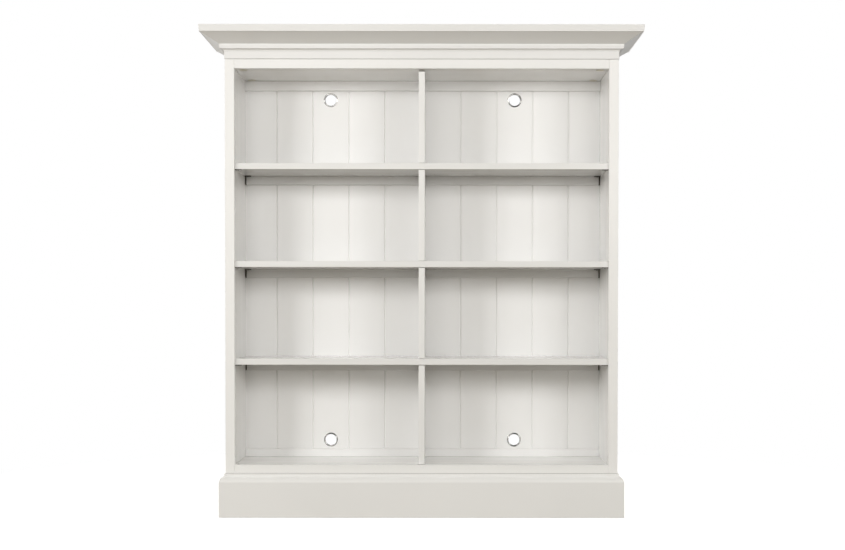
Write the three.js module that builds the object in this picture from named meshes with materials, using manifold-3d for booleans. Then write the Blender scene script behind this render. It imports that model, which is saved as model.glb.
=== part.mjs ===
// A painted bookcase that is a hidden door: two bays by four rows, hung on a frame in a wall opening.
// The cornice stays on the frame. The bookcase below it, with its skirting, swings out on three hinges
// at its left rear edge and rolls on castors behind the skirting.
// Millimetres, +Z up, front towards -Y. The origin is on the floor, under the middle of the whole.
import * as THREE from 'three';
import { mergeVertices } from 'three/addons/utils/BufferGeometryUtils.js';
import Module from 'manifold-3d';

const wasm = await Module();
wasm.setup();

// Bookcase body
const bodyWidth = 1600;
const bodyDepth = 375;
const boardThickness = 25;
const stileWidth = 38;
const stileThickness = 20;
const floorClearance = 2;

// Rows, from the bottom board up
const bottomRowHeight = 408;
const rowHeight = 374;
const upperRows = 3;
const shelfSetback = 14;
const dividerSetback = 2;
const dividerGap = 2;
const dividerFootGap = 1.6;
const dividerFootGapDepth = 8;
const topPanelRise = 7.5;

// Face frame rails
const bottomRailReveal = 35;
const bottomRailLap = 60;
const topRailHeight = 38;

// Skirting: applied outside the body, with a moulded top
const skirtingHeight = 178;
const skirtingThickness = 25;
const skirtingBeadOut = 5;
const skirtingBeadHeight = 9;
const skirtingBeadBackChamfer = 2;
const skirtingQuirkOut = 9;
const skirtingQuirkHeight = 1.5;
const skirtingHollowHeight = 6;
const skirtingRoundHeight = 20;
const skirtingWaistOut = 16;

// Back panels with V grooves, and the rails in front of them
const backPanelThickness = 12;
const backPanelRecess = 19;
const backPanelSeam = 2;
const grooveFromMiddle = 163;
const grooveFromSide = 134;
const grooveHalfWidth = 3.5;
const grooveDepth = 4;
const groovesPerPanel = 4;
const bottomRearRailHeight = 33;
const shelfRearRailHeight = 37;
const topRearRailHeight = 40.5;
const rearRailThickness = 20;
const rearRailEndGap = 5;

// Cable holes
const cableHoleDiameter = 50;
const cableHoleFromEnd = 71;
const cableHoleSides = 24;

// Frame in the wall opening
const frameDepth = 44;
const jambWidth = 60;
const jambProud = 38;
const headLap = 25;
const doorGap = 3;

// Cornice: it stands on the frame, and the body swings under it
const corniceGap = 1;
const corniceBoardThickness = 18;
const corniceOverhang = 92;
const capBoardThickness = 27.5;
const capBoardTopBand = 8.5;
const capBoardMiddleBand = 12;
const capBoardStep = 1;
const crownHeight = 37.5;
const crownTopOut = 86;
const crownSag = 1;
const filletOut = 20;
const filletHeight = 10;
const filletStep = 1.5;
const lowerFilletHeight = 7.5;
const coveTopOut = 16;
const coveQuirkHeight = 1.5;
const coveHeight = 9.5;
const coveFootOut = 3;
const bedFaceOut = 2;
const bedFaceHeight = 29;

// Hinges
const hingeCount = 3;
const hingeHeight = 110;
const hingeFromEnd = 330;
const hingeOffset = 30;
const hingeForward = 6;
const hingePlateThickness = 2.5;
const hingePlateWidth = 45;
const hingeDoorPlateWidth = 55;
const knuckleRadius = 7;
const knuckleGap = 0.6;
const pinRadius = 3;
const pinHeadRadius = 5;
const pinHeadHeight = 3;
const roundSides = 20;

// Castors and the timbers that carry them
const castorWheelRadius = 50;
const castorWheelWidth = 30;
const castorTyreDepth = 9;
const castorWebWidth = 14;
const castorHubRadius = 13;
const castorHubWidth = 34;
const castorHeight = 128;
const castorPlateLength = 84;
const castorPlateWidth = 62;
const castorPlateThickness = 4;
const castorCheekThickness = 3;
const castorCheekWidth = 30;
const castorCheekBelowAxle = 13;
const castorSideGap = 1.5;
const axleRadius = 5;
const axleHeadRadius = 8;
const axleHeadLength = 5;
const castorFromSide = 72;
const castorFromFront = 90;
const castorFromBack = 78;
const castorMiddleFromCentre = 60;
const bearerWidth = 90;
const wheelSides = 32;
const plinthBackThickness = 20;
const plinthBackLift = 18;

// Magnetic catch on the side away from the hinges
const catchHeight = 60;
const catchWidth = 14;
const catchDepth = 25;
const catchProud = 1;
const strikeThickness = 1.5;
const catchFromTop = 480;

// Clearance between pieces cut to each other or set at an angle, and the overrun of a cutter
const fitGap = 0.3;
const cutOverrun = 5;
const curveSteps = 8;

// Levels that follow from the sizes
const overallDepth = corniceOverhang + bodyDepth + doorGap + frameDepth;
const frameBackY = overallDepth / 2;
const frameFrontY = frameBackY - frameDepth;
const bodyBackY = frameFrontY - doorGap;
const faceY = bodyBackY - bodyDepth;
const carcassY = faceY + stileThickness;
const shelfFrontY = faceY + shelfSetback;
const backPanelBackY = bodyBackY - backPanelRecess;
const backPanelY = backPanelBackY - backPanelThickness;
const rearRailY = backPanelY - rearRailThickness;

const halfWidth = bodyWidth / 2;
const halfInside = halfWidth - stileWidth;
const halfBoard = boardThickness / 2;
const groovePitch = (halfInside - grooveFromSide - grooveFromMiddle) / (groovesPerPanel - 1);

const skirtingTopZ = floorClearance + skirtingHeight;
const bottomBoardTopZ = skirtingTopZ + bottomRailReveal;
const bottomBoardZ = bottomBoardTopZ - boardThickness;
const rowFloors = [bottomBoardTopZ];
const rowCeilings = [bottomBoardTopZ + bottomRowHeight];
for (let row = 0; row < upperRows; row += 1) {
  rowFloors.push(rowCeilings[row] + boardThickness);
  rowCeilings.push(rowFloors[row + 1] + rowHeight);
}
const topPanelZ = rowCeilings[upperRows] + topPanelRise;
const topPanelTopZ = topPanelZ + boardThickness;
const bodyTopZ = topPanelZ + topRailHeight;

const corniceZ = bodyTopZ + corniceGap;
const filletZ = corniceZ + bedFaceHeight + coveHeight + coveQuirkHeight;
const crownZ = filletZ + lowerFilletHeight + filletHeight;
const capBoardZ = crownZ + crownHeight;
const overallHeight = capBoardZ + capBoardThickness;
const headZ = bodyTopZ - headLap;

const hingeX = -halfWidth - hingeOffset;
const hingeY = bodyBackY - hingeForward;
const bearerZ = castorHeight + fitGap;
const catchLevel = bodyTopZ - catchFromTop;

function surface(name, color, roughness, metalness) {
  return new THREE.MeshStandardMaterial({ name, color, roughness, metalness });
}

const paint = surface('paint', 0xeceae3, 0.42, 0);
const panelPaint = surface('panel', 0xe9e7df, 0.5, 0);
const timber = surface('timber', 0xcdb48a, 0.7, 0);
const steel = surface('steel', 0xb4b6b8, 0.35, 1);
const rubber = surface('rubber', 0x3b3c3e, 0.6, 0);
const plastic = surface('plastic', 0xd8d5cc, 0.5, 0);

const middle = (range) => (range[0] + range[1]) / 2;
const extent = (range) => range[1] - range[0];
const mirrored = (range) => [-range[1], -range[0]];

// A box over three ranges, as bare geometry for joining and cutting
function boxGeometry(x, y, z) {
  const geometry = new THREE.BoxGeometry(extent(x), extent(y), extent(z));
  return geometry.translate(middle(x), middle(y), middle(z));
}

function addMesh(parent, name, material, geometry) {
  const mesh = new THREE.Mesh(geometry, material);
  mesh.name = name;
  parent.add(mesh);
  return mesh;
}

// A board is a box mesh placed by its middle
function addBoard(parent, name, material, x, y, z) {
  const geometry = new THREE.BoxGeometry(extent(x), extent(y), extent(z));
  const mesh = addMesh(parent, name, material, geometry);
  mesh.position.set(middle(x), middle(y), middle(z));
  return mesh;
}

function toSolid(geometry) {
  const bare = geometry.clone();
  bare.deleteAttribute('normal');
  bare.deleteAttribute('uv');
  const welded = mergeVertices(bare);
  return new wasm.Manifold(new wasm.Mesh({
    numProp: 3,
    vertProperties: new Float32Array(welded.attributes.position.array),
    triVerts: new Uint32Array(welded.index.array),
  }));
}

function toGeometry(solid) {
  const mesh = solid.getMesh();
  const geometry = new THREE.BufferGeometry();
  geometry.setAttribute('position', new THREE.BufferAttribute(new Float32Array(mesh.vertProperties), 3));
  geometry.setIndex(new THREE.BufferAttribute(new Uint32Array(mesh.triVerts), 1));
  geometry.computeVertexNormals();
  return geometry;
}

function unite(geometries) {
  return toGeometry(geometries.map(toSolid).reduce((whole, next) => whole.add(next)));
}

function cut(geometry, cutters) {
  const whole = toSolid(geometry);
  return toGeometry(cutters.map(toSolid).reduce((rest, cutter) => rest.subtract(cutter), whole));
}

// An upright cylinder between two levels
function uprightRound(radius, x, y, z) {
  const geometry = new THREE.CylinderGeometry(radius, radius, extent(z), roundSides);
  return geometry.rotateX(Math.PI / 2).translate(x, y, middle(z));
}

// A solid turned about the X axis, from points of [radius, place along X]
function turnedAlongX(points, sides) {
  const outline = points.map(([radius, along]) => new THREE.Vector2(radius, along));
  const geometry = new THREE.LatheGeometry(outline, sides, Math.PI / sides);
  return geometry.rotateZ(-Math.PI / 2);
}

// A length of moulding. The profile is drawn as (distance out from the wall, height), and the run goes
// along +X with its face towards -Y. A mitred end grows with the distance out.
function mouldingGeometry(profile, length, mitreStart, mitreEnd) {
  const geometry = new THREE.ExtrudeGeometry(profile, {
    depth: length,
    bevelEnabled: false,
    curveSegments: curveSteps,
  });
  const points = geometry.attributes.position;
  for (let i = 0; i < points.count; i += 1) {
    const out = points.getX(i);
    const height = points.getY(i);
    const atEnd = points.getZ(i) === 0;
    const reach = (mitre) => (mitre ? out - fitGap : 0);
    const along = atEnd ? length + reach(mitreEnd) : -reach(mitreStart);
    points.setXYZ(i, along, -out, height);
  }
  geometry.computeVertexNormals();
  return geometry;
}

// A moulding round the front and both sides of a block that is as wide and deep as the body
function addMouldingRound(parent, name, material, profile, z, backY) {
  const sideLength = backY - faceY;
  const addRun = (run, geometry) => addMesh(parent, `${name}_${run}`, material, geometry);
  const front = addRun('front', mouldingGeometry(profile, bodyWidth, true, true));
  front.position.set(-halfWidth, faceY, z);
  const left = addRun('left', mouldingGeometry(profile, sideLength, false, true));
  left.position.set(-halfWidth, backY, z);
  left.rotation.z = -Math.PI / 2;
  const right = addRun('right', mouldingGeometry(profile, sideLength, true, false));
  right.position.set(halfWidth, faceY, z);
  right.rotation.z = Math.PI / 2;
}

// From the bottom: a flat face, an ogee (a long round and a short hollow), a quirk and a bead. The bead's
// back edge is chamfered, which leaves a groove against the body.
function skirtingProfile() {
  const beadZ = skirtingHeight - skirtingBeadHeight;
  const quirkZ = beadZ - skirtingQuirkHeight;
  const waistZ = quirkZ - skirtingHollowHeight;
  const roundZ = waistZ - skirtingRoundHeight;
  const shape = new THREE.Shape();
  shape.moveTo(fitGap, 0);
  shape.lineTo(skirtingThickness, 0);
  shape.lineTo(skirtingThickness, roundZ);
  shape.quadraticCurveTo(skirtingThickness, (roundZ + waistZ) / 2, skirtingWaistOut, waistZ);
  shape.quadraticCurveTo(skirtingQuirkOut, waistZ, skirtingQuirkOut, quirkZ);
  shape.lineTo(skirtingBeadOut, beadZ);
  shape.lineTo(skirtingBeadOut, skirtingHeight);
  shape.lineTo(fitGap + skirtingBeadBackChamfer, skirtingHeight);
  shape.lineTo(fitGap, skirtingHeight - skirtingBeadBackChamfer);
  shape.closePath();
  return shape;
}

// From the bottom: a flat face, a cove, a stepped fillet, and a hollow crown that reaches the cap board
function corniceProfile() {
  const coveZ = bedFaceHeight + coveHeight;
  const filletLowZ = coveZ + coveQuirkHeight;
  const filletStepZ = filletLowZ + lowerFilletHeight;
  const filletTopZ = filletStepZ + filletHeight;
  const topZ = filletTopZ + crownHeight - fitGap;
  const crownMiddleOut = (filletOut + crownTopOut) / 2 - crownSag;
  const crownMiddleZ = (filletTopZ + topZ) / 2 + crownSag;
  const shape = new THREE.Shape();
  shape.moveTo(fitGap, 0);
  shape.lineTo(bedFaceOut, 0);
  shape.lineTo(bedFaceOut, bedFaceHeight);
  shape.lineTo(coveFootOut, bedFaceHeight);
  shape.quadraticCurveTo(coveFootOut, coveZ, coveTopOut, coveZ);
  shape.lineTo(coveTopOut, filletLowZ);
  shape.lineTo(filletOut - filletStep, filletLowZ);
  shape.lineTo(filletOut - filletStep, filletStepZ);
  shape.lineTo(filletOut, filletStepZ);
  shape.lineTo(filletOut, filletTopZ);
  shape.quadraticCurveTo(crownMiddleOut, crownMiddleZ, crownTopOut, topZ);
  shape.lineTo(fitGap, topZ);
  shape.closePath();
  return shape;
}

function addCarcass(parent) {
  const side = [halfInside, halfWidth];
  const sideDepth = [carcassY, bodyBackY];
  const sideHeight = [floorClearance, bodyTopZ];
  const inside = [-halfInside, halfInside];
  addBoard(parent, 'side_panel_left', paint, mirrored(side), sideDepth, sideHeight);
  addBoard(parent, 'side_panel_right', paint, side, sideDepth, sideHeight);
  addBoard(parent, 'top_panel', paint, inside, [carcassY, backPanelY], [topPanelZ, topPanelTopZ]);
  addBoard(parent, 'bottom_board', paint, inside, [carcassY, backPanelY], [bottomBoardZ, bottomBoardTopZ]);
}

function addFaceFrame(parent) {
  const thickness = [faceY, carcassY];
  const stile = [halfInside, halfWidth];
  const between = [-halfInside + fitGap, halfInside - fitGap];
  addBoard(parent, 'stile_left', paint, mirrored(stile), thickness, [floorClearance, bodyTopZ]);
  addBoard(parent, 'stile_right', paint, stile, thickness, [floorClearance, bodyTopZ]);
  addBoard(parent, 'top_rail', paint, between, thickness, [topPanelZ, bodyTopZ]);
  const bottomRail = [skirtingTopZ - bottomRailLap, bottomBoardTopZ];
  addBoard(parent, 'bottom_rail', paint, between, thickness, bottomRail);
}

// A divider seen from the side, notched at its back over the rails above it and below it. Its foot is cut
// away at the front, which leaves a shadow line on the shelf.
function dividerGeometry(frontY, low, high, lowerNotch, upperNotch) {
  const notchY = rearRailY - fitGap;
  const shape = new THREE.Shape();
  shape.moveTo(frontY, low + dividerFootGap);
  shape.lineTo(frontY + dividerFootGapDepth, low + dividerFootGap);
  shape.lineTo(frontY + dividerFootGapDepth, low);
  if (lowerNotch) {
    shape.lineTo(notchY, low);
    shape.lineTo(notchY, low + lowerNotch);
    shape.lineTo(backPanelY, low + lowerNotch);
  } else {
    shape.lineTo(backPanelY, low);
  }
  shape.lineTo(backPanelY, high - upperNotch);
  shape.lineTo(notchY, high - upperNotch);
  shape.lineTo(notchY, high);
  shape.lineTo(frontY, high);
  shape.closePath();
  const geometry = new THREE.ExtrudeGeometry(shape, { depth: boardThickness, bevelEnabled: false });
  const points = geometry.attributes.position;
  for (let i = 0; i < points.count; i += 1) {
    points.setXYZ(i, points.getZ(i) - halfBoard, points.getX(i), points.getY(i));
  }
  geometry.computeVertexNormals();
  return geometry;
}

// The rail at the back of a row, up against its shelf or the top panel
function rearRailRange(row) {
  if (row < upperRows) {
    return [rowCeilings[row] - shelfRearRailHeight, rowCeilings[row]];
  }
  return [topPanelZ - topRearRailHeight, topPanelZ];
}

function addShelvesAndDividers(parent) {
  const inside = [-halfInside, halfInside];
  for (let row = 0; row <= upperRows; row += 1) {
    const frontY = row < upperRows ? shelfFrontY + dividerSetback : carcassY;
    const high = rowCeilings[row] - dividerGap;
    const lowerNotch = row === 0 ? bottomRearRailHeight + fitGap : 0;
    const upperNotch = high - rearRailRange(row)[0] + fitGap;
    const geometry = dividerGeometry(frontY, rowFloors[row], high, lowerNotch, upperNotch);
    addMesh(parent, `divider_${row + 1}`, paint, geometry);
  }
  for (let row = 0; row < upperRows; row += 1) {
    const thickness = [rowCeilings[row], rowFloors[row + 1]];
    addBoard(parent, `shelf_${row + 1}`, paint, inside, [shelfFrontY, backPanelY], thickness);
  }
}

// One back panel on each side of the dividers, with V grooves down its face and two cable holes
function backPanelGeometry(side) {
  const outer = side * halfInside;
  const inner = side * backPanelSeam / 2;
  const shape = new THREE.Shape();
  shape.moveTo(inner, backPanelBackY);
  shape.lineTo(inner, backPanelY);
  for (let groove = 0; groove < groovesPerPanel; groove += 1) {
    const x = side * (grooveFromMiddle + groove * groovePitch);
    shape.lineTo(x - side * grooveHalfWidth, backPanelY);
    shape.lineTo(x, backPanelY + grooveDepth);
    shape.lineTo(x + side * grooveHalfWidth, backPanelY);
  }
  shape.lineTo(outer, backPanelY);
  shape.lineTo(outer, backPanelBackY);
  shape.closePath();
  const height = topPanelTopZ - bottomBoardZ;
  const panel = new THREE.ExtrudeGeometry(shape, { depth: height, bevelEnabled: false });
  panel.translate(0, 0, bottomBoardZ);
  const holeX = side * (grooveFromMiddle + groovePitch + groovePitch / 2);
  const radius = cableHoleDiameter / 2;
  const drill = backPanelThickness + cutOverrun * 2;
  const levels = [rowFloors[0] + cableHoleFromEnd, rowCeilings[upperRows] - cableHoleFromEnd];
  const drills = levels.map((z) => {
    const geometry = new THREE.CylinderGeometry(radius, radius, drill, cableHoleSides);
    return geometry.translate(holeX, (backPanelY + backPanelBackY) / 2, z);
  });
  return cut(panel, drills);
}

function addBack(parent) {
  addMesh(parent, 'back_panel_left', panelPaint, backPanelGeometry(-1));
  addMesh(parent, 'back_panel_right', panelPaint, backPanelGeometry(1));
  const depth = [rearRailY, backPanelY];
  const addRail = (name, reach, z) => addBoard(parent, name, paint, [-reach, reach], depth, z);
  const shortReach = halfInside - rearRailEndGap;
  addRail('rear_rail_bottom', halfInside, [bottomBoardTopZ, bottomBoardTopZ + bottomRearRailHeight]);
  for (let row = 0; row < upperRows; row += 1) {
    addRail(`rear_rail_shelf_${row + 1}`, shortReach, rearRailRange(row));
  }
  addRail('rear_rail_top', halfInside, rearRailRange(upperRows));
}

function addWallFrame(parent) {
  const depth = [frameFrontY, frameBackY];
  const jamb = [halfWidth + jambProud - jambWidth, halfWidth + jambProud];
  addBoard(parent, 'jamb_left', timber, mirrored(jamb), depth, [0, headZ]);
  addBoard(parent, 'jamb_right', timber, jamb, depth, [0, headZ]);
  addBoard(parent, 'head', timber, [-jamb[1], jamb[1]], depth, [headZ, overallHeight]);
}

function addCorniceBox(parent) {
  const height = [corniceZ, capBoardZ];
  const side = [halfWidth - corniceBoardThickness, halfWidth];
  const front = [faceY, faceY + corniceBoardThickness];
  const sideDepth = [front[1], frameFrontY];
  addBoard(parent, 'cornice_front_board', paint, [-halfWidth, halfWidth], front, height);
  addBoard(parent, 'cornice_side_left', paint, mirrored(side), sideDepth, height);
  addBoard(parent, 'cornice_side_right', paint, side, sideDepth, height);
}

// The cap board, with its edge stepped in twice under the top band
function addCapBoard(parent) {
  const bandTops = [0, capBoardTopBand, capBoardTopBand + capBoardMiddleBand, capBoardThickness];
  const layers = [];
  for (let band = 0; band + 1 < bandTops.length; band += 1) {
    const halfSpan = halfWidth + corniceOverhang - band * capBoardStep;
    const frontY = faceY - corniceOverhang + band * capBoardStep;
    const z = [overallHeight - bandTops[band + 1], overallHeight - bandTops[band]];
    layers.push(boxGeometry([-halfSpan, halfSpan], [frontY, frameFrontY], z));
  }
  addMesh(parent, 'cornice_cap', paint, unite(layers));
}

const hingeLevels = Array.from({ length: hingeCount }, (unused, i) => {
  const low = floorClearance + hingeFromEnd;
  const high = bodyTopZ - hingeFromEnd;
  return low + (high - low) * i / (hingeCount - 1);
});

// The three knuckles of a hinge, from the bottom up. The middle one belongs to the door's leaf.
function knuckleRanges(level) {
  const bottom = level - hingeHeight / 2;
  const pitch = hingeHeight / 3;
  const halfGap = knuckleGap / 2;
  return [0, 1, 2].map((i) => [bottom + pitch * i + halfGap, bottom + pitch * (i + 1) - halfGap]);
}

function knuckle(radius, z) {
  return uprightRound(radius, hingeX, hingeY, z);
}

function addHinges(fixed, door) {
  const bore = pinRadius + fitGap;
  const relief = knuckleRadius + knuckleGap;
  hingeLevels.forEach((level, i) => {
    const full = [level - hingeHeight / 2, level + hingeHeight / 2];
    const past = [full[0] - cutOverrun, full[1] + cutOverrun];
    const [lower, centre, upper] = knuckleRanges(level);
    const centreGap = [lower[1], upper[0]];
    const lowerGap = [past[0], centre[0]];
    const upperGap = [centre[1], past[1]];

    const framePlate = boxGeometry(
      [hingeX, hingeX + hingePlateWidth],
      [frameFrontY - hingePlateThickness, frameFrontY - fitGap / 2],
      full,
    );
    const frameLeaf = unite([framePlate, knuckle(knuckleRadius, lower), knuckle(knuckleRadius, upper)]);
    const frameCuts = [knuckle(relief, centreGap), knuckle(bore, past)];
    addMesh(fixed, `hinge_frame_leaf_${i + 1}`, steel, cut(frameLeaf, frameCuts));

    const sideX = -halfWidth - fitGap;
    const armX = sideX - hingePlateThickness;
    const doorY = hingeY + knuckleGap;
    const doorPlate = boxGeometry([armX, sideX], [bodyBackY - hingeDoorPlateWidth, doorY], full);
    const arm = boxGeometry([hingeX, sideX], [hingeY - hingePlateThickness, doorY], full);
    const doorLeaf = unite([doorPlate, arm, knuckle(knuckleRadius, centre)]);
    const doorCuts = [knuckle(relief, lowerGap), knuckle(relief, upperGap), knuckle(bore, past)];
    addMesh(door, `hinge_door_leaf_${i + 1}`, steel, cut(doorLeaf, doorCuts));

    const pinZ = [full[0] - fitGap, full[1] + fitGap];
    addMesh(fixed, `hinge_pin_${i + 1}`, steel, unite([
      knuckle(pinRadius, pinZ),
      knuckle(pinHeadRadius, [pinZ[0] - pinHeadHeight, pinZ[0]]),
      knuckle(pinHeadRadius, [pinZ[1], pinZ[1] + pinHeadHeight]),
    ]));
  });
}

const castorPlaces = [
  [halfInside - castorFromSide, faceY + castorFromFront],
  [halfInside - castorFromSide, bodyBackY - castorFromBack],
  [-castorMiddleFromCentre, faceY + castorFromFront],
];

function castorForkGeometry() {
  const cheekInner = castorHubWidth / 2 + castorSideGap;
  const cheek = [cheekInner, cheekInner + castorCheekThickness];
  const cheekY = [-castorCheekWidth / 2, castorCheekWidth / 2];
  const cheekZ = [castorWheelRadius - castorCheekBelowAxle, castorHeight];
  const plateZ = [castorHeight - castorPlateThickness, castorHeight];
  const plate = boxGeometry(
    [-castorPlateWidth / 2, castorPlateWidth / 2],
    [-castorPlateLength / 2, castorPlateLength / 2],
    plateZ,
  );
  const cheeks = [cheek, mirrored(cheek)].map((x) => boxGeometry(x, cheekY, cheekZ));
  const fork = unite([plate, ...cheeks]);
  const reach = cheek[1] + cutOverrun;
  const radius = axleRadius + fitGap;
  const bore = turnedAlongX([[0, -reach], [radius, -reach], [radius, reach], [0, reach]], roundSides);
  return cut(fork, [bore.translate(0, 0, castorWheelRadius)]);
}

function castorAxleGeometry() {
  const seat = castorHubWidth / 2 + castorSideGap + castorCheekThickness + fitGap;
  const end = seat + axleHeadLength;
  const outline = [
    [0, -end], [axleHeadRadius, -end], [axleHeadRadius, -seat], [axleRadius, -seat],
    [axleRadius, seat], [axleHeadRadius, seat], [axleHeadRadius, end], [0, end],
  ];
  return turnedAlongX(outline, roundSides).translate(0, 0, castorWheelRadius);
}

// The wheel's flats are as far from its axle as its stated radius, so it rests on one
function castorWheelGeometry() {
  const tread = castorWheelRadius / Math.cos(Math.PI / wheelSides);
  const rim = tread - castorTyreDepth;
  const edge = castorTyreDepth / 3;
  const bore = axleRadius + fitGap;
  const half = castorWheelWidth / 2;
  const web = castorWebWidth / 2;
  const hub = castorHubWidth / 2;
  const rightSide = [
    [castorHubRadius, hub], [castorHubRadius, web], [rim, web],
    [rim, half], [tread - edge, half], [tread, half - edge],
  ];
  const leftSide = rightSide.map(([radius, along]) => [radius, -along]).reverse();
  const outline = [[bore, -hub], [bore, hub], ...rightSide, ...leftSide, [bore, -hub]];
  return turnedAlongX(outline.reverse(), wheelSides);
}

function addCastors(door) {
  const bearerX = [-halfInside, halfInside];
  const bearerHeight = [bearerZ, bottomBoardZ];
  const bearerAt = (y) => [y - bearerWidth / 2, y + bearerWidth / 2];
  const frontY = bearerAt(faceY + castorFromFront);
  const rearY = bearerAt(bodyBackY - castorFromBack);
  addBoard(door, 'castor_bearer_front', timber, bearerX, frontY, bearerHeight);
  addBoard(door, 'castor_bearer_rear', timber, bearerX, rearY, bearerHeight);
  castorPlaces.forEach(([x, y], i) => {
    const castor = new THREE.Group();
    castor.position.set(x, y, 0);
    castor.rotation.z = Math.atan2(y - hingeY, x - hingeX);
    door.add(castor);
    addMesh(castor, `castor_fork_${i + 1}`, steel, castorForkGeometry());
    addMesh(castor, `castor_axle_${i + 1}`, steel, castorAxleGeometry());
    const wheel = addMesh(castor, `castor_wheel_${i + 1}`, rubber, castorWheelGeometry());
    wheel.position.z = castorWheelRadius;
  });
}

function addPlinthBack(door) {
  const y = [bodyBackY - plinthBackThickness, bodyBackY];
  const z = [floorClearance + plinthBackLift, bottomBoardZ];
  addBoard(door, 'plinth_back', timber, [-halfInside, halfInside], y, z);
}

function addCatch(fixed, door) {
  const jambInner = halfWidth + jambProud - jambWidth;
  const x = [jambInner - catchWidth, jambInner];
  const z = [catchLevel - catchHeight / 2, catchLevel + catchHeight / 2];
  const magnetY = frameFrontY - catchProud;
  addBoard(fixed, 'catch_magnet', plastic, x, [magnetY, magnetY + catchDepth], z);
  addBoard(door, 'catch_strike', steel, x, [bodyBackY, bodyBackY + strikeThickness], z);
}

const bookcase = new THREE.Group();
bookcase.name = 'hidden_door_bookcase';
const fixedPart = new THREE.Group();
const doorPart = new THREE.Group();
bookcase.add(fixedPart, doorPart);

addWallFrame(fixedPart);
addCorniceBox(fixedPart);
addCapBoard(fixedPart);
addMouldingRound(fixedPart, 'cornice_moulding', paint, corniceProfile(), corniceZ, frameFrontY);

addCarcass(doorPart);
addFaceFrame(doorPart);
addShelvesAndDividers(doorPart);
addBack(doorPart);
addMouldingRound(doorPart, 'skirting', paint, skirtingProfile(), floorClearance, bodyBackY);
addPlinthBack(doorPart);
addCastors(doorPart);

addHinges(fixedPart, doorPart);
addCatch(fixedPart, doorPart);

export default bookcase;
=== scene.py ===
import math

import bmesh
import bpy
from mathutils import Matrix, Vector


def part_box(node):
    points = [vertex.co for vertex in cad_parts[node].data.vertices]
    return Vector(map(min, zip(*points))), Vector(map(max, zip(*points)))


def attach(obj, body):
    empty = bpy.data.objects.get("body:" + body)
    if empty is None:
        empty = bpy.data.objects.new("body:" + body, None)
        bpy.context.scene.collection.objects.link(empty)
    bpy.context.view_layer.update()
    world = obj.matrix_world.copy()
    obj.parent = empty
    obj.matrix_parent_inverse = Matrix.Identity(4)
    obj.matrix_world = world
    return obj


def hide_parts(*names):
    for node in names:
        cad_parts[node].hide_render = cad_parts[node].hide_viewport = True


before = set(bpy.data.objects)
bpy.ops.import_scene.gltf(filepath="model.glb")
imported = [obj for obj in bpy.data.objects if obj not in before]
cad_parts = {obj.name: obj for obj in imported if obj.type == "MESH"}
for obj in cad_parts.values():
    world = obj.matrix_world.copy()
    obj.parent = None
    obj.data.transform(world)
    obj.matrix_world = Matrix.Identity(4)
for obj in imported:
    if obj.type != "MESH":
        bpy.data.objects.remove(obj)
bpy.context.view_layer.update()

FIXED = "wall_frame"
DOOR = "bookcase_door"
ALONG_X, ALONG_Y, ALONG_Z = 0, 1, 2
SIDES = (("left", -1), ("right", 1))
WHITE = (1.0, 1.0, 1.0, 1.0)

# Camera, as found from the photograph's edges
CAMERA_PLACE = (0.0689, -5.911, 0.8629)
CAMERA_DOWN = math.radians(1.16)
CAMERA_ROLL = math.radians(0.046)
CAMERA_LENS = 60.09
CAMERA_SENSOR = 36.0
CAMERA_SHIFT = (-0.01893, 0.07072)
CAMERA_REACH = 100.0

# Light
AMBIENT = 0.225
AMBIENT_COLOR = (1.0, 0.93, 0.72)
LAMP_AIM = (0.0, 0.0, 1.0)
LAMPS = {
    "lamp_left": {"place": (-3.8, -4.3, 2.2), "size": 1.3, "power": 106.0},
    "lamp_left_side": {"place": (-6.0, -3.2, 2.2), "size": 1.8, "power": 30.0},
    "lamp_left_end": {"place": (-6.0, -1.6, 1.3), "size": 1.8, "power": 24.0},
    "lamp_front": {"place": (-1.0, -7.0, 2.3), "size": 2.0, "power": 60.0},
    "lamp_near_right": {"place": (1.4, -3.6, 2.0), "size": 0.9, "power": 16.7},
    "lamp_right": {"place": (3.8, -5.4, 2.2), "size": 1.6, "power": 92.0},
    "lamp_right_end": {"place": (6.0, -1.6, 1.3), "size": 1.8, "power": 12.0},
    "lamp_behind_left": {"place": (-1.3, 5.4, 4.6), "size": 2.0, "power": 80.0},
    "lamp_behind_right": {"place": (1.3, 5.4, 4.6), "size": 2.0, "power": 80.0},
}

# Floor: what it throws back on the object, and what the camera sees of it
FLOOR_HALF = 14.0
FLOOR_BOUNCE = (0.27, 0.23, 0.16)
FLOOR_SEEN = 0.8
FLOOR_GLOW = 0.72
FLOOR_FADE = (1.3, 2.6)

# The mix node's own sockets for its factor, its two colours and the colour mixed
MIX_COLOR_INPUTS = (0, 6, 7)
MIX_COLOR_OUTPUT = 2

# The stretches of a noise's values that its two colours or gloss values are spread over
NOISE_MOST = (0.25, 0.75)
NOISE_MIDDLE = (0.3, 0.7)
NOISE_CORE = (0.4, 0.6)

# Paint. A tone is the share of its colour that a part shows, darker where the photograph has it in shade.
# A face counts as level as its normal's rise goes from the first of two values to the second.
PAINT = (0.885, 0.879, 0.869)
PAINT_PALEST = 0.94
PAINT_ROUGHNESS = (0.29, 0.37)
BOARD_ROUGHNESS = (0.13, 0.19)
TOP_ROUGHNESS = 0.68
LEVEL_NORMAL = (0.8, 0.95)
# Painted shade: each tone below darkens the paint of the parts that lie in shade.
CAP_PAINTED_SHADE = 0.92
CORNICE_PAINTED_SHADE = 0.90
RETURN_PAINTED_SHADE = 0.54
SHELF_PAINTED_SHADE = 0.91
DIVIDER_PAINTED_SHADE = 0.93
FRONT_PAINTED_SHADE = 0.96
REAR_RAIL_PAINTED_SHADE = 0.85
TINT_CHANGE = 0.012
TINT_SCALE = 3.1
TINT_DETAIL = 3.0
STROKE_ALONG = 9.0
STROKE_ACROSS = 260.0
STROKE_DEPTH = 0.00001
PATCH_ALONG = 2.0
PATCH_ACROSS = 14.0
PEEL_SCALE = 420.0
PEEL_DETAIL = 1.0
PEEL_DEPTH = 0.000008

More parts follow.
